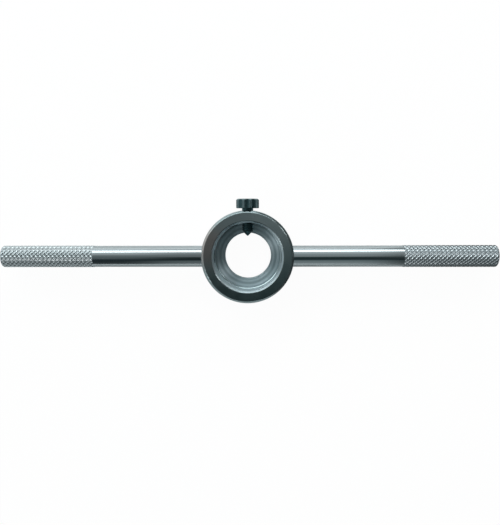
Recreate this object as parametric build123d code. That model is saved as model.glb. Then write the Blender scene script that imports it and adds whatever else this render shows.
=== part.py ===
from build123d import *
import math
import os

# Die stock handle: a turned steel ring that holds a round threading die, two arms with knurled
# grips screwed into its sides, and a thumb screw that bears on the die.
# The origin is the centre of the die seat, the flat shoulder at the bottom of the ring's pocket.
# +Z runs along the ring's axis to the mouth of the pocket, the arms lie along X and the thumb
# screw along +Y. All lengths are in millimetres.

# The round die that the pocket takes
DIE_DIAMETER = 38.0
DIE_THICKNESS = 13.0
DIE_CLEARANCE = 0.1

# Ring body
RING_DIAMETER = 52.0
RING_EDGE_CHAMFER = 1.2
POCKET_MOUTH_CHAMFER = 1.05
SHOULDER_THICKNESS = 6.0
WORK_HOLE_DIAMETER = 26.5
WORK_HOLE_EDGE = 0.3
WORK_HOLE_MOUTH = 0.6

# Arms
OVERALL_LENGTH = 280.0
ARM_DIAMETER = 12.0
ARM_END_RADIUS = 1.2
ARM_STUD_DIAMETER = 8.0
ARM_STUD_CHAMFER = 0.4
ARM_STUD_RECESS = 0.15
ARM_STUD_ABOVE_SEAT = 1.0
SPOT_FACE_CLEARANCE = 0.1
SPOT_FACE_DEPTH = 0.05

# Knurled grip: right-hand and left-hand grooves that leave rows of four-sided points
GRIP_LENGTH = 52.6
KNURL_START_COUNT = 16
KNURL_HELIX_ANGLE = 45.0
KNURL_DEPTH = 0.55
KNURL_RISE = 0.15

# Thumb screw
SCREW_DIAMETER = 6.35
SCREW_POINT_ANGLE = 90.0
SCREW_POINT_FLAT = 0.6
SCREW_END_CHAMFER = 0.4
SCREW_TIP_FROM_AXIS = 11.7
SCREW_HOLE_MOUTH = 0.5
HEAD_DIAMETER = 12.8
HEAD_HEIGHT = 5.3
HEAD_STAND_OFF = 1.15
HEAD_TOP_CHAMFER = 0.7
HEAD_LOWER_CHAMFER = 0.3
HEAD_ROOF = 1.5
FLUTE_COUNT = 10
FLUTE_DEPTH = 0.55
FLUTE_CUTTER_RADIUS = 3.2
FLUTE_FIRST_ANGLE = 16.0

# Radial gap left between a plain cylinder and its hole where the real pieces have threads,
# and between the stud and the head that is pressed onto it
THREAD_CLEARANCE = 0.05
HEAD_CLEARANCE = 0.03

# Worked out from the sizes above
ring_radius = RING_DIAMETER / 2
pocket_radius = DIE_DIAMETER / 2 + DIE_CLEARANCE
work_hole_radius = WORK_HOLE_DIAMETER / 2
front_z = DIE_THICKNESS
back_z = -SHOULDER_THICKNESS
screw_z = DIE_THICKNESS / 2

arm_radius = ARM_DIAMETER / 2
arm_end_x = OVERALL_LENGTH / 2
grip_start_x = arm_end_x - GRIP_LENGTH
stud_radius = ARM_STUD_DIAMETER / 2
arm_z = stud_radius + ARM_STUD_ABOVE_SEAT
stud_end_x = pocket_radius + ARM_STUD_RECESS
spot_face_radius = arm_radius + SPOT_FACE_CLEARANCE
spot_face_x = math.sqrt(ring_radius**2 - spot_face_radius**2) - SPOT_FACE_DEPTH

crest_radius = arm_radius + KNURL_RISE
root_radius = crest_radius - KNURL_DEPTH
knurl_pitch = math.pi * ARM_DIAMETER / KNURL_START_COUNT / math.tan(math.radians(KNURL_HELIX_ANGLE))
knurl_columns = 2 * KNURL_START_COUNT
knurl_rows = 2 * round(GRIP_LENGTH / knurl_pitch)
row_step = GRIP_LENGTH / knurl_rows

screw_radius = SCREW_DIAMETER / 2
screw_tip = SCREW_TIP_FROM_AXIS
point_flat_radius = SCREW_POINT_FLAT / 2
point_length = (screw_radius - point_flat_radius) / math.tan(math.radians(SCREW_POINT_ANGLE / 2))
head_radius = HEAD_DIAMETER / 2
head_base = ring_radius + HEAD_STAND_OFF
head_top = head_base + HEAD_HEIGHT
head_bore_end = head_top - HEAD_ROOF


def turned(outline):
    """A solid of revolution about Z from the outline's (radius, height) points."""
    points = [(radius, 0, height) for radius, height in outline]
    return revolve(make_face(Polyline(*points, close=True)), axis=Axis.Z)


def along_x(shape, z):
    """Turn a shape made along Z so that it lies along +X at height z."""
    return Pos(0, 0, z) * Rot(Y=90) * shape


def along_y(shape, z):
    """Turn a shape made along Z so that it lies along +Y at height z."""
    return Pos(0, 0, z) * Rot(X=-90) * shape


def rod(radius, start, end):
    """A plain cylinder on Z from start to end."""
    return Pos(0, 0, start) * Cylinder(radius, end - start, align=(Align.CENTER, Align.CENTER, Align.MIN))


def ring_body():
    """The turned ring, with its die pocket and work hole, and the three radial tapped holes."""
    ring = turned([
        (work_hole_radius + WORK_HOLE_MOUTH, back_z),
        (ring_radius - RING_EDGE_CHAMFER, back_z),
        (ring_radius, back_z + RING_EDGE_CHAMFER),
        (ring_radius, front_z - RING_EDGE_CHAMFER),
        (ring_radius - RING_EDGE_CHAMFER, front_z),
        (pocket_radius + POCKET_MOUTH_CHAMFER, front_z),
        (pocket_radius, front_z - POCKET_MOUTH_CHAMFER),
        (pocket_radius, 0),
        (work_hole_radius + WORK_HOLE_EDGE, 0),
        (work_hole_radius, -WORK_HOLE_EDGE),
        (work_hole_radius, back_z + WORK_HOLE_MOUTH),
    ])

    # each arm has a spot face cut into the rim for its shoulder, and a hole for its stud
    arm_seat = rod(spot_face_radius, spot_face_x, ring_radius + arm_radius)
    arm_hole = rod(stud_radius + THREAD_CLEARANCE, work_hole_radius, ring_radius)
    for turn in (0, 180):
        ring -= Rot(Z=turn) * along_x(arm_seat + arm_hole, arm_z)

    # the thumb screw's hole runs from the rim into the pocket, with a countersunk mouth
    hole_radius = screw_radius + THREAD_CLEARANCE
    screw_hole = rod(hole_radius, work_hole_radius, ring_radius + screw_radius)
    mouth = turned([
        (0, ring_radius - SCREW_HOLE_MOUTH),
        (hole_radius, ring_radius - SCREW_HOLE_MOUTH),
        (hole_radius + 2 * SCREW_HOLE_MOUTH, ring_radius + SCREW_HOLE_MOUTH),
        (0, ring_radius + SCREW_HOLE_MOUTH),
    ])
    return ring - along_y(screw_hole + mouth, screw_z)


def knurl_point(column, row):
    """A corner of the knurl: grooves cross at the even places and points stand at the odd ones."""
    radius = root_radius if (column + row) % 2 == 0 else crest_radius
    turn = math.pi * column / KNURL_START_COUNT
    return Vector(radius * math.cos(turn), radius * math.sin(turn), grip_start_x + row * row_step)


def knurled_grip():
    """A closed rod whose side is the diamond knurl, each diamond being a point with four flanks."""
    faces = []
    for row in range(knurl_rows + 1):
        for column in range(knurl_columns):
            if (column + row) % 2 == 0:
                continue
            tip = knurl_point(column, row)
            for side in (-1, 1):
                beside = knurl_point(column + side, row)
                for end in (-1, 1):
                    if 0 <= row + end <= knurl_rows:
                        above = knurl_point(column, row + end)
                        faces.append(Face(Wire.make_polygon([tip, beside, above])))
    for row in (0, knurl_rows):
        rim = [knurl_point(column, row) for column in range(knurl_columns)]
        faces.append(Face(Wire.make_polygon(rim)))
    return Solid(Shell(faces))


def arm():
    """One arm on Z: the stud, the plain polished rod, and the knurled grip with its rounded end."""
    grip = knurled_grip()
    blank = rod(crest_radius + KNURL_RISE, grip_start_x - KNURL_RISE, arm_end_x)
    rounded = fillet(blank.edges().group_by(Axis.Z)[-1], ARM_END_RADIUS)
    plain = rod(arm_radius, spot_face_x, grip_start_x)
    stud = turned([
        (0, stud_end_x),
        (stud_radius - ARM_STUD_CHAMFER, stud_end_x),
        (stud_radius, stud_end_x + ARM_STUD_CHAMFER),
        (stud_radius, spot_face_x),
        (0, spot_face_x),
    ])
    return stud + plain + (grip & rounded)


def screw_stud():
    """The thumb screw's threaded stud on Z, from its cone point to the end inside the head."""
    end = head_bore_end - HEAD_CLEARANCE
    return turned([
        (0, screw_tip),
        (point_flat_radius, screw_tip),
        (screw_radius, screw_tip + point_length),
        (screw_radius, end - SCREW_END_CHAMFER),
        (screw_radius - SCREW_END_CHAMFER, end),
        (0, end),
    ])


def screw_head():
    """The fluted head on Z, with the blind bore that the stud is pressed into."""
    head = rod(head_radius, head_base, head_top)
    head = chamfer(head.edges().group_by(Axis.Z)[-1], HEAD_TOP_CHAMFER)
    head = chamfer(head.edges().group_by(Axis.Z)[0], HEAD_LOWER_CHAMFER)
    cutter = rod(FLUTE_CUTTER_RADIUS, head_base, head_top)
    cutter_from_axis = head_radius - FLUTE_DEPTH + FLUTE_CUTTER_RADIUS
    for flute in range(FLUTE_COUNT):
        turn = FLUTE_FIRST_ANGLE + 360 * flute / FLUTE_COUNT
        head -= Rot(Z=turn) * Pos(cutter_from_axis, 0, 0) * cutter
    return head - rod(screw_radius + HEAD_CLEARANCE, head_base, head_bore_end)


right_arm = along_x(arm(), arm_z)
pieces = {
    "ring_body": ring_body(),
    "right_arm": right_arm,
    "left_arm": Rot(Z=180) * right_arm,
    "thumb_screw_stud": along_y(screw_stud(), screw_z),
    "thumb_screw_head": along_y(screw_head(), screw_z),
}

os.makedirs("parts", exist_ok=True)
for name, piece in pieces.items():
    export_step(piece, f"parts/{name}.step")
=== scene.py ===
import math

import bmesh
import bpy
from mathutils import Matrix, Vector


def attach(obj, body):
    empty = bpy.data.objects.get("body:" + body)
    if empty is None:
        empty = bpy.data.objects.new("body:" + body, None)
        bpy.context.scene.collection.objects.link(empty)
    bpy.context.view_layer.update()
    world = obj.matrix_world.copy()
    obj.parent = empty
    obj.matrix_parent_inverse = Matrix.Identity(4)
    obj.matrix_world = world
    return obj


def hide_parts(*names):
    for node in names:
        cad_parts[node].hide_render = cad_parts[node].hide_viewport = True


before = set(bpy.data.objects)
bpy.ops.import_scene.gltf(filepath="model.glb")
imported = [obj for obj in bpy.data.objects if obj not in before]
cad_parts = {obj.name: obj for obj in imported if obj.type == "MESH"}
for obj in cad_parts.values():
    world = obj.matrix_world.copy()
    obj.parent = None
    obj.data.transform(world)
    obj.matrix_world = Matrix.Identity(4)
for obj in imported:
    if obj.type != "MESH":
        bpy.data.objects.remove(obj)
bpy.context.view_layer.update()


# Ring body
# One ring turned from steel bar: a pocket for the die, a flat seat at its bottom and a hole
# through the seat. Two tapped holes in the rim take the arms, and a third takes the thumb screw.
# Every edge is chamfered, and the seat keeps the steps that the tool cut.

# the handle's sizes are in millimetres, and MM turns them to the metres of the scene
MM = 0.001
# a hundredth under 26 mm, so that this finer mesh stays within the solid's facets
RING_RADIUS = 25.99
RING_FRONT, RING_BACK = 13.0, -6.0
RING_CHAMFER = 1.2
POCKET_RADIUS = 19.1
POCKET_CHAMFER, POCKET_CHAMFER_DEPTH = 1.05, 0.97
POCKET_CORNER, POCKET_CORNER_HEIGHT = 0.45, 0.28
HOLE_RADIUS = 13.25
HOLE_EDGE, HOLE_MOUTH = 0.3, 0.6
SEAT_STEPS, SEAT_STEP_WIDTH, SEAT_STEP_DEPTH = (17.25, 14.7), 0.22, 0.06
RING_STEPS = 360
EDGE_EASE, CHAMFER_EASE, CORNER_EASE, STEP_EASE = 0.1, 0.24, 0.14, 0.05

ARM_HEIGHT = 5.0
# the radius of each arm's spot face, and how far from the ring's axis it lies
ARM_SEAT_RADIUS, ARM_SEAT = 6.1, 25.2241
ARM_HOLE_RADIUS = 4.05
SCREW_HEIGHT = 6.5
SCREW_HOLE_RADIUS = 3.225
SCREW_HOLE_MOUTH = 0.5
# the cutters of the holes start inside the work hole and end outside the rim
CUTTER_START, CUTTER_END = HOLE_RADIUS + 1, RING_RADIUS + 4

# points nearer than SAME_POINT are merged, so a corner eased by NO_EASE stays sharp
SAME_POINT, NO_EASE = 0.0005, 0.0001
SHORTEST_EDGE = 0.001


def turned(outline, steps, ease, rounds=None):
    """A mesh turned about Z from the (radius, height) corners of its outline. Each corner is eased
    a little, and those whose place in the outline is in rounds by a size of their own."""
    rounds = rounds or {}
    mesh = bmesh.new()
    corners = [mesh.verts.new((radius, 0, height)) for radius, height in outline]
    for first, second in zip(corners, corners[1:] + corners[:1]):
        if first.co.x > 0 or second.co.x > 0:
            mesh.edges.new((first, second))
    for place, corner in enumerate(corners):
        if corner.co.x > 0:
            bmesh.ops.bevel(mesh, geom=[corner], offset=rounds.get(place, ease),
                            offset_type="OFFSET", affect="VERTICES",
                            segments=6 if place in rounds else 3, profile=0.5, material=-1)
    bmesh.ops.spin(mesh, geom=mesh.verts[:] + mesh.edges[:], cent=(0, 0, 0), axis=(0, 0, 1),
                   dvec=(0, 0, 0), angle=2 * math.pi, steps=steps, use_merge=True)
    bmesh.ops.remove_doubles(mesh, verts=mesh.verts[:], dist=SAME_POINT)
    bmesh.ops.recalc_face_normals(mesh, faces=mesh.faces[:])
    return mesh


def laid(mesh, direction, height):
    """Turn a mesh made along Z so that it points along X or Y, with its axis at a height."""
    turn = Matrix.Rotation(math.radians(90), 4, "Y")
    if direction == "Y":
        turn = Matrix.Rotation(math.radians(-90), 4, "X")
    mesh.transform(Matrix.Translation((0, 0, height)) @ turn)
    return mesh


def in_scene(name, mesh):
    """Put a mesh made in millimetres into the scene as an object at the origin."""
    mesh.transform(Matrix.Scale(MM, 4))
    data = bpy.data.meshes.new(name)
    mesh.to_mesh(data)
    mesh.free()
    piece = bpy.data.objects.new(name, data)
    bpy.context.scene.collection.objects.link(piece)
    return piece


def cut(piece, tool, operation="DIFFERENCE"):
    """Take one closed mesh out of another, join them or keep what both hold, and drop the tool."""
    change = piece.modifiers.new("cut", "BOOLEAN")
    change.object = tool
    change.operation = operation
    change.solver = "EXACT"
    shape = piece.evaluated_get(bpy.context.evaluated_depsgraph_get())
    data = bpy.data.meshes.new_from_object(shape)
    mesh = bmesh.new()
    mesh.from_mesh(data)
    bmesh.ops.dissolve_degenerate(mesh, edges=mesh.edges[:], dist=SHORTEST_EDGE * MM)
    stray = [vert for vert in mesh.verts if not vert.link_faces]
    bmesh.ops.delete(mesh, geom=stray, context="VERTS")
    mesh.to_mesh(data)
    mesh.free()
    piece.modifiers.clear()
    piece.data = data
    bpy.data.objects.remove(tool)


def smoothed(piece, sharp_degrees):
    """Shade a machined piece smooth, with its flats kept flat and its sharp edges kept sharp."""
    for face in piece.data.polygons:
        face.use_smooth = True
    piece.data.set_sharp_from_angle(angle=math.radians(sharp_degrees))
    flats = piece.modifiers.new("flats", "WEIGHTED_NORMAL")
    flats.keep_sharp = True
    flats.weight = 100


def colour(code):
    """A colour written as sRGB hex, as the linear values that a shader takes."""
    parts = [int(code[place:place + 2], 16) / 255 for place in (1, 3, 5)]
    return [p / 12.92 if p <= 0.04045 else ((p + 0.055) / 1.055) ** 2.4 for p in parts] + [1.0]


def add(tree, kind, inputs=None, **settings):
    """Add a shader node: inputs names each socket with its value or the output that feeds it."""
    node = tree.nodes.new(kind)
    for name, value in settings.items():
        setattr(node, name, value)
    for name, value in (inputs or {}).items():
        if isinstance(value, bpy.types.NodeSocket):
            tree.links.new(value, node.inputs[name])
        else:
            node.inputs[name].default_value = value
    return node


def new_material(name):
    """An empty node material, its tree and its output node."""
    material = bpy.data.materials.new(name)
    material.use_nodes = True
    tree = material.node_tree
    tree.nodes.clear()
    return material, tree, tree.nodes.new("ShaderNodeOutputMaterial")


ring_outline = [
    (HOLE_RADIUS + HOLE_MOUTH, RING_BACK),
    (RING_RADIUS - RING_CHAMFER, RING_BACK),
    (RING_RADIUS, RING_BACK + RING_CHAMFER),
    (RING_RADIUS, RING_FRONT - RING_CHAMFER),
    (RING_RADIUS - RING_CHAMFER, RING_FRONT),
    (POCKET_RADIUS + POCKET_CHAMFER, RING_FRONT),
    (POCKET_RADIUS, RING_FRONT - POCKET_CHAMFER_DEPTH),
]
ring_rounds = {place: CHAMFER_EASE for place in range(1, len(ring_outline))}

# The nose of the boring tool left a small slope in the pocket's corner. The facing cuts left fine
# steps in the seat, a few hundredths of a millimetre high, and the die rests above them.
seat_outline = [
    (POCKET_RADIUS, POCKET_CORNER_HEIGHT),
    (POCKET_RADIUS - POCKET_CORNER, 0),
]
for radius in SEAT_STEPS:
    seat_outline += [(radius, 0), (radius - SEAT_STEP_WIDTH, -SEAT_STEP_DEPTH)]
for place in range(len(seat_outline)):
    ring_rounds[len(ring_outline) + place] = CORNER_EASE if place < 2 else STEP_EASE
ring_outline += seat_outline + [
    (HOLE_RADIUS + HOLE_EDGE, -SEAT_STEP_DEPTH),
    (HOLE_RADIUS, -SEAT_STEP_DEPTH - HOLE_EDGE),
    (HOLE_RADIUS, RING_BACK + HOLE_MOUTH),
]
ring = in_scene("ring_body_turned", turned(ring_outline, RING_STEPS, EDGE_EASE, ring_rounds))

for side in (1, -1):
    seat_and_hole = turned([
        (0, CUTTER_START),
        (ARM_HOLE_RADIUS, CUTTER_START),
        (ARM_HOLE_RADIUS, ARM_SEAT),
        (ARM_SEAT_RADIUS, ARM_SEAT),
        (ARM_SEAT_RADIUS, CUTTER_END),
        (0, CUTTER_END),
    ], steps=96, ease=NO_EASE)
    laid(seat_and_hole, "X", ARM_HEIGHT)
    if side < 0:
        seat_and_hole.transform(Matrix.Rotation(math.pi, 4, "Z"))
    cut(ring, in_scene("arm_seat_cutter", seat_and_hole))

screw_hole = turned([
    (0, CUTTER_START),
    (SCREW_HOLE_RADIUS, CUTTER_START),
    (SCREW_HOLE_RADIUS, RING_RADIUS - SCREW_HOLE_MOUTH),
    (SCREW_HOLE_RADIUS + 2 * SCREW_HOLE_MOUTH, RING_RADIUS + SCREW_HOLE_MOUTH),
    (0, RING_RADIUS + SCREW_HOLE_MOUTH),
], steps=72, ease=NO_EASE)
cut(ring, in_scene("screw_hole_cutter", laid(screw_hole, "Y", SCREW_HEIGHT)))


def round_the_ring(tree):
    """Where a point of the ring is: its place, its offset from the ring's axis, and its distance
    from that axis with its height, which is the same all the way round."""
    place = add(tree, "ShaderNodeTexCoord").outputs["Object"]
    axes = add(tree, "ShaderNodeSeparateXYZ", {"Vector": place})
    flat = add(tree, "ShaderNodeCombineXYZ", {"X": axes.outputs["X"], "Y": axes.outputs["Y"]})
    radius = add(tree, "ShaderNodeVectorMath", {0: flat.outputs["Vector"]}, operation="LENGTH")
    track = add(tree, "ShaderNodeCombineXYZ", {"X": radius.outputs["Value"], "Y": axes.outputs["Z"]})
    return place, flat.outputs["Vector"], track.outputs["Vector"]


# Carbon steel, ground on the faces and rim and thinly oiled: a dark, fairly clear reflection with
# fine marks round the ring, and a brownish film where it has been handled. The marks are drawn
# half a millimetre wide so that they show.
GRINDING_MARK, GRINDING_DEPTH, FILM_PATCH = 0.5, 0.02, 7
HANDLED_SPOT, HANDLED_RADIUS, HANDLED_REACH = (-23, 6, RING_FRONT), 4, 17

ground_steel, tree, output = new_material("ground_carbon_steel")
place, flat, track = round_the_ring(tree)
rings = add(tree, "ShaderNodeTexNoise", {"Vector": track, "Scale": 1 / (GRINDING_MARK * MM),
                                        "Detail": 3.0, "Roughness": 0.65})
bump = add(tree, "ShaderNodeBump", {"Height": rings.outputs["Fac"], "Strength": 0.12,
                                    "Distance": GRINDING_DEPTH * MM})
film = add(tree, "ShaderNodeTexNoise", {"Vector": place, "Scale": 1 / (FILM_PATCH * MM),
                                        "Detail": 3.0})
tone = add(tree, "ShaderNodeMix", {"Factor": rings.outputs["Fac"], "A": colour("#96a4a6"),
                                   "B": colour("#b4c2c4")}, data_type="RGBA")
handled = add(tree, "ShaderNodeVectorMath", {0: place, 1: Vector(HANDLED_SPOT) * MM},
              operation="DISTANCE")
brown = add(tree, "ShaderNodeMapRange", {"Value": handled.outputs["Value"],
                                         "From Min": HANDLED_RADIUS * MM,
                                         "From Max": HANDLED_REACH * MM,
                                         "To Min": 0.75, "To Max": 0.0},
            interpolation_type="SMOOTHSTEP")
stained = add(tree, "ShaderNodeMix", {"Factor": brown.outputs["Result"], "A": tone.outputs[2],
                                      "B": colour("#b5a9a4")}, data_type="RGBA")
roughness = add(tree, "ShaderNodeMapRange", {"Value": film.outputs["Fac"], "From Min": 0.3,
                                             "From Max": 0.7, "To Min": 0.10, "To Max": 0.17})
surface = add(tree, "ShaderNodeBsdfPrincipled", {
    "Base Color": stained.outputs[2], "Metallic": 1.0, "Roughness": roughness.outputs["Result"],
    "Normal": bump.outputs["Normal"]})
tree.links.new(surface.outputs["BSDF"], output.inputs["Surface"])

# The same steel as the tool left it in the pocket, its mouth and the hole: satin, with a glint that
# the tool's fine rings spread across them like a fan, and a lighter band where each of its passes
# ended, 2.55 mm apart. The rings are drawn at 0.3 mm so that they show.
TOOL_RING, TOOL_RING_DEPTH = 0.3, 0.03
PASS_WIDTH, PASS_PHASE = 2.55, 4.87
# what a wave texture multiplies its scale by
WAVE_FACTOR = 20

turned_steel, tree, output = new_material("turned_carbon_steel")
place, flat, track = round_the_ring(tree)
rings = add(tree, "ShaderNodeTexNoise", {"Vector": track, "Scale": 1 / (TOOL_RING * MM),
                                        "Detail": 2.0, "Roughness": 0.6})
bump = add(tree, "ShaderNodeBump", {"Height": rings.outputs["Fac"], "Strength": 0.25,
                                    "Distance": TOOL_RING_DEPTH * MM})
passes = add(tree, "ShaderNodeTexWave", {"Vector": place,
                                         "Scale": 2 * math.pi / (WAVE_FACTOR * PASS_WIDTH * MM),
                                         "Phase Offset": PASS_PHASE},
             wave_type="RINGS", rings_direction="Z")
shade = add(tree, "ShaderNodeMix", {"Factor": 0.6, "A": rings.outputs["Fac"],
                                    "B": passes.outputs["Fac"]})
tone = add(tree, "ShaderNodeMix", {"Factor": shade.outputs[0], "A": colour("#a0b2b6"),
                                   "B": colour("#dfecf1")}, data_type="RGBA")
roughness = add(tree, "ShaderNodeMapRange", {"Value": rings.outputs["Fac"], "From Min": 0.3,
                                             "From Max": 0.7, "To Min": 0.38, "To Max": 0.46})
outwards = add(tree, "ShaderNodeVectorMath", {0: flat}, operation="NORMALIZE")
across_rings = add(tree, "ShaderNodeVectorMath", {0: outwards.outputs["Vector"], 1: (0, 0, 1)},
                   operation="ADD")
surface = add(tree, "ShaderNodeBsdfPrincipled", {
    "Base Color": tone.outputs[2], "Metallic": 1.0, "Roughness": roughness.outputs["Result"],
    "Anisotropic": 0.92, "Tangent": across_rings.outputs["Vector"],
    "Normal": bump.outputs["Normal"]})
tree.links.new(surface.outputs["BSDF"], output.inputs["Surface"])

ring.data.materials.append(ground_steel)
ring.data.materials.append(turned_steel)

# The turned finish ends a little inside the pocket's mouth and above the back face. The slope in
# the pocket's corner reflects like the ground faces.
MOUTH_MARGIN, BACK_MARGIN, WALL_MARGIN = 0.1, 0.05, 0.02
for face in ring.data.polygons:
    reach, height = face.center.xy.length / MM, face.center.z / MM
    on_slope = POCKET_RADIUS - POCKET_CORNER < reach < POCKET_RADIUS - WALL_MARGIN and height > 0
    inside_mouth = reach < POCKET_RADIUS + POCKET_CHAMFER - MOUTH_MARGIN
    turned_here = inside_mouth and height > RING_BACK + BACK_MARGIN and not on_slope
    face.material_index = 1 if turned_here else 0
smoothed(ring, sharp_degrees=40)

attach(ring, "stock")
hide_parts("ring_body")


# Arms
# Two bars of polished, bright-plated steel, each turned down to a threaded stud that screws into
# the ring until its shoulder seats. The outer part is rolled with a diamond knurl for the hands,
# and the end is rounded.

ARM_RADIUS = 6.0
ARM_STUD_RADIUS, ARM_STUD_END, ARM_STUD_CHAMFER = 4.0, 19.25, 0.4
GRIP_START, ARM_END = 87.4, 140.0
GRIP_END_RADIUS = 1.2
CREST_RADIUS, ROOT_RADIUS = 6.15, 5.8
KNURL_COLUMNS, KNURL_ROWS, SPARE_ROWS = 32, 44, 2
KNURL_PITCH = 1.64
KNURL_LAND = 0.72
# the envelope that trims the knurl stands this far off its crests
ENVELOPE_GAP = 0.05
# the bar runs this far into the grip
BAR_OVERLAP = 0.3


def knurled_sleeve():
    """A tube on Z of flat diamonds between crossing grooves, with spare rows past each end of the
    grip."""
    sleeve = bmesh.new()
    step = (ARM_END - GRIP_START) / KNURL_ROWS
    stations = [sleeve.verts.new((ROOT_RADIUS, 0, GRIP_START + row * step))
                for row in range(-SPARE_ROWS, KNURL_ROWS + SPARE_ROWS + 1)]
    for first, second in zip(stations, stations[1:]):
        sleeve.edges.new((second, first))
    bmesh.ops.spin(sleeve, geom=sleeve.verts[:] + sleeve.edges[:], cent=(0, 0, 0), axis=(0, 0, 1),
                   dvec=(0, 0, 0), angle=2 * math.pi, steps=KNURL_COLUMNS, use_merge=True)
    bmesh.ops.recalc_face_normals(sleeve, faces=sleeve.faces[:])

    def on_groove(vert):
        column = round(math.atan2(vert.co.y, vert.co.x) / (2 * math.pi) * KNURL_COLUMNS)
        return (column + round((vert.co.z - GRIP_START) / step)) % 2 == 0

    for face in list(sleeve.faces):
        ends = [vert for vert in face.verts if on_groove(vert)]
        bmesh.ops.connect_vert_pair(sleeve, verts=ends)
    tips = [vert for vert in sleeve.verts if not on_groove(vert) and not vert.is_boundary]
    bmesh.ops.dissolve_verts(sleeve, verts=tips)
    return sleeve


def grip():
    """The knurled grip: each diamond is raised to a land, the ends of the tube are closed, and it
    is turned to the grip's length with a small radius at the end."""
    sleeve = knurled_sleeve()
    lands = [face for face in sleeve.faces if len(face.verts) == 4]
    bmesh.ops.inset_individual(sleeve, faces=lands, thickness=(KNURL_PITCH - KNURL_LAND) / 2,
                               depth=CREST_RADIUS - ROOT_RADIUS, use_even_offset=True)
    for vert in {vert for land in lands for vert in land.verts}:
        stretch = CREST_RADIUS / math.hypot(vert.co.x, vert.co.y)
        vert.co.x *= stretch
        vert.co.y *= stretch
    bmesh.ops.holes_fill(sleeve, edges=[edge for edge in sleeve.edges if edge.is_boundary])
    bmesh.ops.recalc_face_normals(sleeve, faces=sleeve.faces[:])
    piece = in_scene("grip", sleeve)
    envelope = turned([
        (0, GRIP_START),
        (CREST_RADIUS + ENVELOPE_GAP, GRIP_START),
        (CREST_RADIUS + ENVELOPE_GAP, ARM_END),
        (0, ARM_END),
    ], steps=128, ease=NO_EASE, rounds={2: GRIP_END_RADIUS})
    cut(piece, in_scene("grip_envelope", envelope), "INTERSECT")
    return piece


def bar():
    """The rest of an arm: the threaded stud, the shoulder and the plain polished bar."""
    return in_scene("bar", turned([
        (0, ARM_STUD_END),
        (ARM_STUD_RADIUS - ARM_STUD_CHAMFER, ARM_STUD_END),
        (ARM_STUD_RADIUS, ARM_STUD_END + ARM_STUD_CHAMFER),
        (ARM_STUD_RADIUS, ARM_SEAT),
        (ARM_RADIUS, ARM_SEAT),
        (ARM_RADIUS, GRIP_START + BAR_OVERLAP),
        (0, GRIP_START + BAR_OVERLAP),
    ], steps=160, ease=0.06))


# Plated steel, ground and polished round the bar: nearly a mirror, with faint lines round it. They
# are drawn a quarter of a millimetre wide so that they show.
POLISHING_LINE, POLISHING_DEPTH = 0.25, 0.01
# the scale along the lines, low enough that each of them runs far round the bar
ALONG_LINES = 60

polished_steel, tree, output = new_material("polished_plated_steel")
place = add(tree, "ShaderNodeTexCoord").outputs["Object"]
stretch = add(tree, "ShaderNodeMapping", {
    "Vector": place, "Scale": (1 / (POLISHING_LINE * MM), ALONG_LINES, ALONG_LINES)})
lines = add(tree, "ShaderNodeTexNoise", {"Vector": stretch.outputs["Vector"], "Scale": 1.0,
                                        "Detail": 2.0})
bump = add(tree, "ShaderNodeBump", {"Height": lines.outputs["Fac"], "Strength": 0.05,
                                    "Distance": POLISHING_DEPTH * MM})
roughness = add(tree, "ShaderNodeMapRange", {"Value": lines.outputs["Fac"], "From Min": 0.3,
                                             "From Max": 0.7, "To Min": 0.08, "To Max": 0.13})
surface = add(tree, "ShaderNodeBsdfPrincipled", {
    "Base Color": colour("#c9d0d2"), "Metallic": 1.0, "Roughness": roughness.outputs["Result"],
    "Normal": bump.outputs["Normal"]})
tree.links.new(surface.outputs["BSDF"], output.inputs["Surface"])

# The same plating over the rolled knurl, which was never polished: it is duller, and its lands
# and flanks catch the light one by one, with a grain of half a millimetre, coarse enough to show.
# The right grip is painted a shade greyer: painted shade for the dimmer light on its side.
KNURL_GRAIN = 0.5
# the painted shade comes in between these places, to the right of the ring
GRIP_SHADE_FROM, GRIP_SHADE_PAST = 80, 90

knurl_steel, tree, output = new_material("knurled_plated_steel")
place = add(tree, "ShaderNodeTexCoord").outputs["Object"]
axes = add(tree, "ShaderNodeSeparateXYZ", {"Vector": place})
right_grip_shade = add(tree, "ShaderNodeMapRange", {"Value": axes.outputs["X"],
                                              "From Min": GRIP_SHADE_FROM * MM,
                                              "From Max": GRIP_SHADE_PAST * MM})
# painted shade: the right grip's plating is drawn greyer for the dimmer light around it
tone = add(tree, "ShaderNodeMix", {"Factor": right_grip_shade.outputs["Result"],
                                   "A": colour("#d3dadc"), "B": colour("#c5cccf")},
           data_type="RGBA")
grain = add(tree, "ShaderNodeTexNoise", {"Vector": place, "Scale": 1 / (KNURL_GRAIN * MM),
                                        "Detail": 2.0})
roughness = add(tree, "ShaderNodeMapRange", {"Value": grain.outputs["Fac"], "From Min": 0.3,
                                             "From Max": 0.7, "To Min": 0.3, "To Max": 0.38})
surface = add(tree, "ShaderNodeBsdfPrincipled", {
    "Base Color": tone.outputs[2], "Metallic": 1.0, "Roughness": roughness.outputs["Result"]})
tree.links.new(surface.outputs["BSDF"], output.inputs["Surface"])

parts_of_arm = [bar(), grip()]
for side, name in ((1, "right_arm"), (-1, "left_arm")):
    mesh = bmesh.new()
    for index, part in enumerate(parts_of_arm):
        known = len(mesh.faces)
        mesh.from_mesh(part.data)
        mesh.faces.ensure_lookup_table()
        for face in mesh.faces[known:]:
            face.material_index = index
    mesh.transform(Matrix.Scale(1 / MM, 4))
    laid(mesh, "X", ARM_HEIGHT)
    if side < 0:
        mesh.transform(Matrix.Rotation(math.pi, 4, "Z"))
    arm = in_scene(name + "_bar", mesh)
    arm.data.materials.append(polished_steel)
    arm.data.materials.append(knurl_steel)
    smoothed(arm, sharp_degrees=12)
    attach(arm, "stock")
    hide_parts(name)
for part in parts_of_arm:
    bpy.data.objects.remove(part)


# Thumb screw stud
# A black-oxide steel screw of quarter-inch coarse thread with a plain neck. Its cone point bears
# in the die's dimple, and its outer end is pressed into the head.

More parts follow.
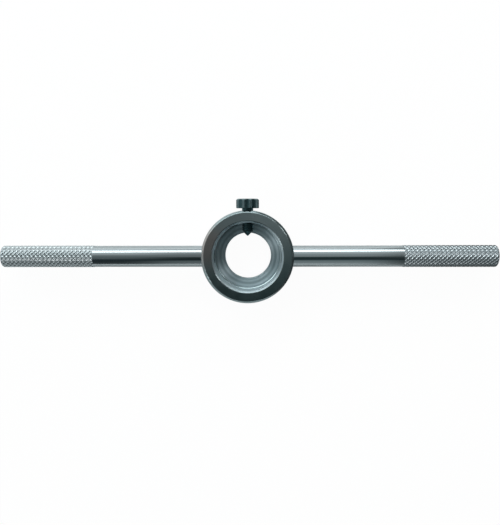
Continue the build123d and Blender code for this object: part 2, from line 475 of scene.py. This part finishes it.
SCREW_RADIUS, SCREW_TIP, SCREW_END = 3.175, 11.7, 30.92
SCREW_END_CHAMFER = 0.4
POINT_FLAT = 0.3
THREAD_PITCH, THREAD_DEPTH = 1.27, 0.4
THREAD_ROOT, THREAD_FLANK = 0.17, 0.34
NECK_START = 25.5
THREAD_STEPS = 48
# the thread is rolled a tenth too high, and the plain stock starts half a millimetre too thick
THREAD_SPARE, STOCK_SPARE = 1.1, 0.5
TURNS_BEFORE, TURNS_AFTER = 2, 1
# one turn of the thread is joined to the next where their points are nearer than this
THREAD_SEAM = 0.002
STUD_STEPS, STUD_EASE, STUD_TURN = 96, 0.05, 1.3


def threaded(start, end):
    """A closed threaded rod on Z: one pitch of the thread's outline carried up a screw line, with
    spare turns that are cut off square at both ends."""
    root = SCREW_RADIUS - THREAD_DEPTH
    crest, flank = root + THREAD_SPARE * THREAD_DEPTH, THREAD_SPARE * THREAD_FLANK
    rod = bmesh.new()
    outline = [(root, 0), (root, THREAD_ROOT), (crest, THREAD_ROOT + flank),
               (crest, THREAD_PITCH - flank), (root, THREAD_PITCH)]
    first_turn = start - TURNS_BEFORE * THREAD_PITCH
    points = [rod.verts.new((radius, 0, first_turn + rise)) for radius, rise in outline]
    for first, second in zip(points, points[1:]):
        rod.edges.new((first, second))
    turns = math.ceil((end - start) / THREAD_PITCH) + TURNS_BEFORE + TURNS_AFTER
    bmesh.ops.spin(rod, geom=rod.verts[:] + rod.edges[:], cent=(0, 0, 0), axis=(0, 0, 1),
                   dvec=(0, 0, THREAD_PITCH / THREAD_STEPS), angle=2 * math.pi * turns,
                   steps=THREAD_STEPS * turns)
    bmesh.ops.remove_doubles(rod, verts=rod.verts[:], dist=THREAD_SEAM)
    for height, outwards in ((start, -1), (end, 1)):
        bmesh.ops.bisect_plane(rod, geom=rod.verts[:] + rod.edges[:] + rod.faces[:],
                               plane_co=(0, 0, height), plane_no=(0, 0, outwards),
                               clear_outer=True)
    bmesh.ops.holes_fill(rod, edges=[edge for edge in rod.edges if edge.is_boundary])
    bmesh.ops.recalc_face_normals(rod, faces=rod.faces[:])
    return rod


# The thread and the plain stock are joined, and then both are turned down to the stud's outline.
thread = threaded(SCREW_TIP - STOCK_SPARE, NECK_START + STOCK_SPARE)
plain_stock = turned([
    (0, NECK_START),
    (SCREW_RADIUS + STOCK_SPARE, NECK_START),
    (SCREW_RADIUS + STOCK_SPARE, SCREW_END + 2 * STOCK_SPARE),
    (0, SCREW_END + 2 * STOCK_SPARE),
], STUD_STEPS, NO_EASE)
stud_outline = turned([
    (0, SCREW_TIP),
    (POINT_FLAT, SCREW_TIP),
    (SCREW_RADIUS, SCREW_TIP + SCREW_RADIUS - POINT_FLAT),
    (SCREW_RADIUS, SCREW_END - SCREW_END_CHAMFER),
    (SCREW_RADIUS - SCREW_END_CHAMFER, SCREW_END),
    (0, SCREW_END),
], STUD_STEPS, STUD_EASE)
# turned a little, so that no edge of the outline runs along an edge of the thread
stud_outline.transform(Matrix.Rotation(math.radians(STUD_TURN), 4, "Z"))
stud = in_scene("thumb_screw_thread", laid(thread, "Y", SCREW_HEIGHT))
cut(stud, in_scene("plain_stock", laid(plain_stock, "Y", SCREW_HEIGHT)), "UNION")
cut(stud, in_scene("stud_outline", laid(stud_outline, "Y", SCREW_HEIGHT)), "INTERSECT")
smoothed(stud, sharp_degrees=30)

# Black oxide over machined steel: nearly black with a dull sheen and a faint mottle, 0.8 mm wide so
# that it shows. It is painted lighter on the outermost part of the head and the rim of its outer
# end:
# partly wear where fingers rub, partly a painted highlight on the lands and the rim.
OXIDE_MOTTLE = 0.8
HIGHLIT_WORN_FROM, HIGHLIT_WORN_PAST = 6.1, 6.7
RIM_FROM, RIM_END = 31.6, 32.45

black_steel, tree, output = new_material("black_oxide_steel")
place = add(tree, "ShaderNodeTexCoord").outputs["Object"]
grain = add(tree, "ShaderNodeTexNoise", {"Vector": place, "Scale": 1 / (OXIDE_MOTTLE * MM),
                                        "Detail": 3.0})
tone = add(tree, "ShaderNodeMix", {"Factor": grain.outputs["Fac"], "A": colour("#2a4246"),
                                   "B": colour("#4a6468")}, data_type="RGBA")
raised = add(tree, "ShaderNodeVectorMath", {0: place, 1: (0, 0, SCREW_HEIGHT * MM)},
             operation="SUBTRACT")
sideways = add(tree, "ShaderNodeVectorMath", {0: raised.outputs["Vector"], 1: (1, 0, 1)},
               operation="MULTIPLY")
from_axis = add(tree, "ShaderNodeVectorMath", {0: sideways.outputs["Vector"]}, operation="LENGTH")
along = add(tree, "ShaderNodeSeparateXYZ", {"Vector": place})
near_end = add(tree, "ShaderNodeMapRange", {"Value": along.outputs["Y"],
                                            "From Min": RIM_FROM * MM, "From Max": RIM_END * MM,
                                            "To Min": 0.0, "To Max": (RIM_END - RIM_FROM) * MM})
to_rim = add(tree, "ShaderNodeMath", {0: from_axis.outputs["Value"], 1: near_end.outputs["Result"]},
             operation="ADD")
# painted highlight, with some wear: the head's lands and outer rim are drawn lighter
rubbed_and_highlit = add(tree, "ShaderNodeMapRange", {"Value": to_rim.outputs[0],
                                          "From Min": HIGHLIT_WORN_FROM * MM, "From Max": HIGHLIT_WORN_PAST * MM,
                                          "To Min": 0.0, "To Max": 0.85})
worn_and_highlit = add(tree, "ShaderNodeMix", {"Factor": rubbed_and_highlit.outputs["Result"], "A": tone.outputs[2],
                                   "B": colour("#8fa3a6")}, data_type="RGBA")
roughness = add(tree, "ShaderNodeMapRange", {"Value": grain.outputs["Fac"], "From Min": 0.3,
                                             "From Max": 0.7, "To Min": 0.28, "To Max": 0.38})
surface = add(tree, "ShaderNodeBsdfPrincipled", {
    "Base Color": worn_and_highlit.outputs[2], "Metallic": 0.9, "Roughness": roughness.outputs["Result"]})
tree.links.new(surface.outputs["BSDF"], output.inputs["Surface"])
stud.data.materials.append(black_steel)

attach(stud, "screw_stud")
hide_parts("thumb_screw_stud")


# Thumb screw head
# The same black-oxide steel: a short turned cylinder with ten flutes milled down its side for the
# fingers, pressed onto the stud.

HEAD_RADIUS, HEAD_BASE, HEAD_TOP = 6.4, 27.15, 32.45
HEAD_TOP_CHAMFER, HEAD_LOWER_CHAMFER = 0.7, 0.3
BORE_RADIUS, BORE_END = 3.205, 30.95
FLUTES, FLUTE_DEPTH, FLUTE_RADIUS, FIRST_FLUTE = 10, 0.55, 3.2, 16.0
# the milling cutter is longer than the head is high
CUTTER_LENGTH, CUTTER_STEPS = 8, 96
# the flutes' edges are broken by hand, wherever two faces meet at more than these degrees
BROKEN_EDGE, BROKEN_FROM = 0.25, 28

head_mesh = turned([
    (0, BORE_END),
    (BORE_RADIUS, BORE_END),
    (BORE_RADIUS, HEAD_BASE),
    (HEAD_RADIUS - HEAD_LOWER_CHAMFER, HEAD_BASE),
    (HEAD_RADIUS, HEAD_BASE + HEAD_LOWER_CHAMFER),
    (HEAD_RADIUS, HEAD_TOP - HEAD_TOP_CHAMFER),
    (HEAD_RADIUS - HEAD_TOP_CHAMFER, HEAD_TOP),
    (0, HEAD_TOP),
], steps=180, ease=0.04)
flutes = bmesh.new()
for flute in range(FLUTES):
    turn = Matrix.Rotation(math.radians(FIRST_FLUTE + 360 * flute / FLUTES), 4, "Z")
    centre = Vector((HEAD_RADIUS - FLUTE_DEPTH + FLUTE_RADIUS, 0, (HEAD_BASE + HEAD_TOP) / 2))
    bmesh.ops.create_cone(flutes, cap_ends=True, segments=CUTTER_STEPS, radius1=FLUTE_RADIUS,
                          radius2=FLUTE_RADIUS, depth=CUTTER_LENGTH,
                          matrix=turn @ Matrix.Translation(centre))
head = in_scene("thumb_screw_fluted_head", laid(head_mesh, "Y", SCREW_HEIGHT))
cut(head, in_scene("flute_cutter", laid(flutes, "Y", SCREW_HEIGHT)))
eased = head.modifiers.new("eased", "BEVEL")
eased.width = BROKEN_EDGE * MM
eased.segments = 2
eased.limit_method = "ANGLE"
eased.angle_limit = math.radians(BROKEN_FROM)
smoothed(head, sharp_degrees=40)
head.data.materials.append(black_steel)

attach(head, "screw_head")
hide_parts("thumb_screw_head")


# Floor
# A plain white sheet that the handle lies on, flat on the ring's back face. To the camera it is a
# white ground with a faint shadow. In the steel it shows a painted glow, brighter at its far and
# near sides, and a painted shade, greyer beside the right grip.

FLOOR_SIZE, FLOOR_GAP = 4000, 0.02
# where the painted shade greys the sheet towards the right, and where its painted glow grows
# towards its far and its near side
FLOOR_SHADE_FROM, FLOOR_SHADE_PAST = 88, 115
FAR_FROM, FAR_PAST = -20, 60
NEAR_PAST, NEAR_FROM = -600, -120

floor_mesh = bmesh.new()
bmesh.ops.create_grid(floor_mesh, x_segments=1, y_segments=1, size=FLOOR_SIZE,
                      matrix=Matrix.Translation((0, 0, RING_BACK - FLOOR_GAP)))
floor = in_scene("floor", floor_mesh)

# Matt paper, lit so evenly that it is white to the camera. The dark diffuse part is only there to
# take the shadow. In the steel it carries the painted glow and the painted shade.
white_sheet, tree, output = new_material("white_paper_sheet")
lit = add(tree, "ShaderNodeEmission", {"Color": colour("#ffffff"), "Strength": 0.96})
shadow = add(tree, "ShaderNodeBsdfDiffuse", {"Color": colour("#4b4b4b")})
shown = add(tree, "ShaderNodeAddShader", {0: lit.outputs[0], 1: shadow.outputs[0]})
place = add(tree, "ShaderNodeTexCoord").outputs["Object"]
axes = add(tree, "ShaderNodeSeparateXYZ", {"Vector": place})
# painted shade: as the steel sees it, the sheet turns grey beside the right grip
right_side_shade = add(tree, "ShaderNodeMapRange", {"Value": axes.outputs["X"],
                                              "From Min": FLOOR_SHADE_FROM * MM,
                                              "From Max": FLOOR_SHADE_PAST * MM})
tone = add(tree, "ShaderNodeMix", {"Factor": right_side_shade.outputs["Result"], "A": colour("#f2f4f4"),
                                   "B": colour("#505454")}, data_type="RGBA")
paper = add(tree, "ShaderNodeBsdfDiffuse", {"Color": tone.outputs[2]})
# painted glow: to the steel the sheet glows brighter towards its far and near sides, though it is no
# lamp
far_side = add(tree, "ShaderNodeMapRange", {"Value": axes.outputs["Y"],
                                            "From Min": FAR_FROM * MM, "From Max": FAR_PAST * MM,
                                            "To Min": 0.0, "To Max": 0.38})
near_side = add(tree, "ShaderNodeMapRange", {"Value": axes.outputs["Y"],
                                             "From Min": NEAR_PAST * MM, "From Max": NEAR_FROM * MM,
                                             "To Min": 0.57, "To Max": 0.0})
reach = add(tree, "ShaderNodeMath", {0: far_side.outputs["Result"], 1: near_side.outputs["Result"]},
            operation="ADD")
painted_glow = add(tree, "ShaderNodeEmission", {"Color": tone.outputs[2], "Strength": reach.outputs[0]})
mirrored = add(tree, "ShaderNodeAddShader", {0: painted_glow.outputs[0], 1: paper.outputs[0]})
rays = add(tree, "ShaderNodeLightPath")
to_metal = add(tree, "ShaderNodeMixShader", {0: rays.outputs["Is Glossy Ray"],
                                             1: paper.outputs[0], 2: mirrored.outputs[0]})
sheet = add(tree, "ShaderNodeMixShader", {0: rays.outputs["Is Camera Ray"],
                                          1: to_metal.outputs[0], 2: shown.outputs[0]})
tree.links.new(sheet.outputs[0], output.inputs["Surface"])
floor.data.materials.append(white_sheet)


# Light
# A long softbox beyond the thumb screw gives the bars their white line. Two small ones, high at the
# near left and far right, spread the fan of light in the pocket's seat, and a third, low at the far
# right, lights the pocket's edges.

# places and sizes in metres, energies in watts, and the long softbox's roll in degrees
SOFTBOX_LENGTH, SOFTBOX_WIDTH = 1.9, 0.26
SOFTBOX_PLACE, SOFTBOX_ROLL = (-0.14, 0.785, 0.455), 10
SOFTBOX_ENERGY, SOFTBOX_COLOUR = 4.1, "#f7ffff"
SIDE_BOX_SIZE = 0.15
SIDE_BOXES = [((-0.48, -0.29, 0.76), 0.36), ((0.44, 0.27, 0.78), 0.42), ((0.62, 0.8, 0.5), 0.3)]


def softbox(name, place, size, energy, roll=0):
    """A softbox that faces the ring and that the camera doesn't see, and its lamp's settings."""
    lamp = bpy.data.lights.new(name, "AREA")
    lamp.shape = "RECTANGLE"
    lamp.size, lamp.size_y = size
    lamp.energy = energy
    box = bpy.data.objects.new(name, lamp)
    bpy.context.scene.collection.objects.link(box)
    aim = Vector(place).to_track_quat("Z", "Y").to_matrix().to_4x4()
    box.matrix_world = Matrix.Translation(place) @ aim @ Matrix.Rotation(math.radians(roll), 4, "Z")
    box.visible_camera = False
    return lamp


long_softbox = softbox("long_softbox", SOFTBOX_PLACE, (SOFTBOX_LENGTH, SOFTBOX_WIDTH),
                       SOFTBOX_ENERGY, SOFTBOX_ROLL)
long_softbox.color = colour(SOFTBOX_COLOUR)[:3]
for place, energy in SIDE_BOXES:
    softbox("small_side_softbox", place, (SIDE_BOX_SIZE, SIDE_BOX_SIZE), energy)


# Room
# What the steel mirrors besides the softboxes: a soft gradient, pale towards the long softbox, dark
# on the near side with a dim grey card in its middle, pale grey at its left end and dim at its
# right. The camera sees plain white in its place.

# how much the tones in the middle slant from left to right
ROOM_SKEW = -0.16
# shares of the view to the side, from -1 at the left to 1 at the right
CARD_MIDDLE, CARD_EDGE, CARD_PAST = 0.02, 0.14, 0.25
DIMMER_FROM, DIMMER_PAST = 0.03, -0.045
ENDS_FROM, ENDS_PAST = 0.3, 0.75
RIGHT_END_FROM, RIGHT_END_PAST = 0.15, 0.28


def room_ramp(tree, value, tones):
    """A colour ramp over a value from -1 to 1, from (value, colour) stops."""
    place = add(tree, "ShaderNodeMapRange", {"Value": value, "From Min": -1.0, "From Max": 1.0})
    ramp = add(tree, "ShaderNodeValToRGB", {"Fac": place.outputs["Result"]})
    stops = ramp.color_ramp.elements
    stops.remove(stops[0])
    stops[0].position = (tones[0][0] + 1) / 2
    stops[0].color = colour(tones[0][1])
    for height, tint in tones[1:]:
        stops.new((height + 1) / 2).color = colour(tint)
    return ramp.outputs["Color"]


room = bpy.data.worlds.new("studio_room")
bpy.context.scene.world = room
room.use_nodes = True
tree = room.node_tree
tree.nodes.clear()
view = add(tree, "ShaderNodeTexCoord").outputs["Generated"]
direction = add(tree, "ShaderNodeSeparateXYZ", {"Vector": view})
across = direction.outputs["X"]
lean = add(tree, "ShaderNodeMath", {0: direction.outputs["Y"], 1: direction.outputs["Z"]},
           operation="ARCTAN2")
quarter_turns = add(tree, "ShaderNodeMath", {0: lean.outputs[0], 1: math.pi / 2},
                    operation="DIVIDE").outputs[0]

# Each tone is placed by its lean from overhead in quarter turns: 1 is level with the floor on the
# softbox's side and -1 on the near side.
open_room = room_ramp(tree, quarter_turns, [
    (-1.0, "#343b3d"), (-0.78, "#333b3d"), (-0.6, "#272f31"), (-0.42, "#262f34"),
    (-0.3, "#3c4749"), (-0.17, "#60696b"), (-0.05, "#606a6c"), (0.06, "#70797a"),
    (0.18, "#889091"), (0.3, "#b2b9bb"), (0.6, "#d2dadd"), (1.0, "#e8f2f6")])
askew = add(tree, "ShaderNodeMath", {0: across, 1: ROOM_SKEW, 2: quarter_turns},
            operation="MULTIPLY_ADD")
ring_tones = room_ramp(tree, askew.outputs[0], [
    (-1.0, "#a4acae"), (-0.81, "#7c8587"), (-0.68, "#778183"), (-0.54, "#707c7e"),
    (-0.42, "#354144"), (-0.3, "#1e2a2c"), (-0.17, "#303b3c"), (-0.11, "#304041"),
    (-0.088, "#2f3e3d"), (-0.07, "#3a4647"), (-0.06, "#424d4e"), (-0.05, "#4d5b5b"),
    (-0.04, "#616a6a"), (-0.03, "#767b7b"), (-0.02, "#858a8b"), (-0.01, "#898e8f"),
    (0.06, "#848c8e"), (0.18, "#889294"), (0.3, "#98a0a2"), (0.6, "#d2dadd"), (1.0, "#e8f2f6")])
dimming = add(tree, "ShaderNodeMapRange", {"Value": across, "From Min": DIMMER_PAST,
                                           "From Max": DIMMER_FROM, "To Min": 0.7, "To Max": 1.12})
room_by_ring = add(tree, "ShaderNodeVectorMath", {0: ring_tones, "Scale": dimming.outputs["Result"]},
                   operation="SCALE")
room_ends = room_ramp(tree, direction.outputs["Y"], [
    (-1.0, "#b6bec0"), (-0.2, "#bac2c4"), (0.15, "#bac2c4"), (0.45, "#dce4e6"), (1.0, "#f2fafc")])
from_card = add(tree, "ShaderNodeMath", {0: across, 1: CARD_MIDDLE}, operation="SUBTRACT")
off_middle = add(tree, "ShaderNodeMath", {0: from_card.outputs[0]}, operation="ABSOLUTE")
past_card = add(tree, "ShaderNodeMapRange", {"Value": off_middle.outputs[0], "From Min": CARD_EDGE,
                                             "From Max": CARD_PAST}, interpolation_type="SMOOTHSTEP")
to_end = add(tree, "ShaderNodeMapRange", {"Value": off_middle.outputs[0], "From Min": ENDS_FROM,
                                          "From Max": ENDS_PAST}, interpolation_type="SMOOTHSTEP")
middle = add(tree, "ShaderNodeMix", {"Factor": past_card.outputs["Result"],
                                     "A": room_by_ring.outputs[0], "B": open_room},
             data_type="RGBA")
whole = add(tree, "ShaderNodeMix", {"Factor": to_end.outputs["Result"], "A": middle.outputs[2],
                                    "B": room_ends}, data_type="RGBA")
right_end = add(tree, "ShaderNodeMapRange", {"Value": across, "From Min": RIGHT_END_FROM,
                                             "From Max": RIGHT_END_PAST,
                                             "To Min": 1.0, "To Max": 0.24},
                interpolation_type="SMOOTHSTEP")
glow = add(tree, "ShaderNodeBackground", {"Color": whole.outputs[2],
                                          "Strength": right_end.outputs["Result"]})
backdrop = add(tree, "ShaderNodeBackground", {"Color": colour("#ffffff"), "Strength": 1.0})
rays = add(tree, "ShaderNodeLightPath")
mixed = add(tree, "ShaderNodeMixShader", {0: rays.outputs["Is Camera Ray"], 1: glow.outputs[0],
                                          2: backdrop.outputs[0]})
add(tree, "ShaderNodeOutputWorld", {"Surface": mixed.outputs[0]})


# Camera
# It looks almost straight down on the ring from 0.36 m, with the thumb screw at the top. Its lens
# and place give the outline that the handle has in its photograph.

# millimetres, and turns in radians about X, Y and Z
SENSOR_WIDTH, LENS = 36.0, 42.46
CAMERA_PLACE = (9.17, 24.80, 356.05)
CAMERA_TILT, CAMERA_LEAN, CAMERA_TWIST = -0.0807, 0.0225, -0.0007

camera_data = bpy.data.cameras.new("camera")
camera_data.sensor_width = SENSOR_WIDTH
camera_data.lens = LENS
camera = bpy.data.objects.new("camera", camera_data)
bpy.context.scene.collection.objects.link(camera)
camera.matrix_world = (
    Matrix.Translation(Vector(CAMERA_PLACE) * MM) @ Matrix.Rotation(CAMERA_TILT, 4, "X")
    @ Matrix.Rotation(CAMERA_LEAN, 4, "Y") @ Matrix.Rotation(CAMERA_TWIST, 4, "Z"))
bpy.context.scene.camera = camera

bpy.context.scene.view_settings.view_transform = "Standard"
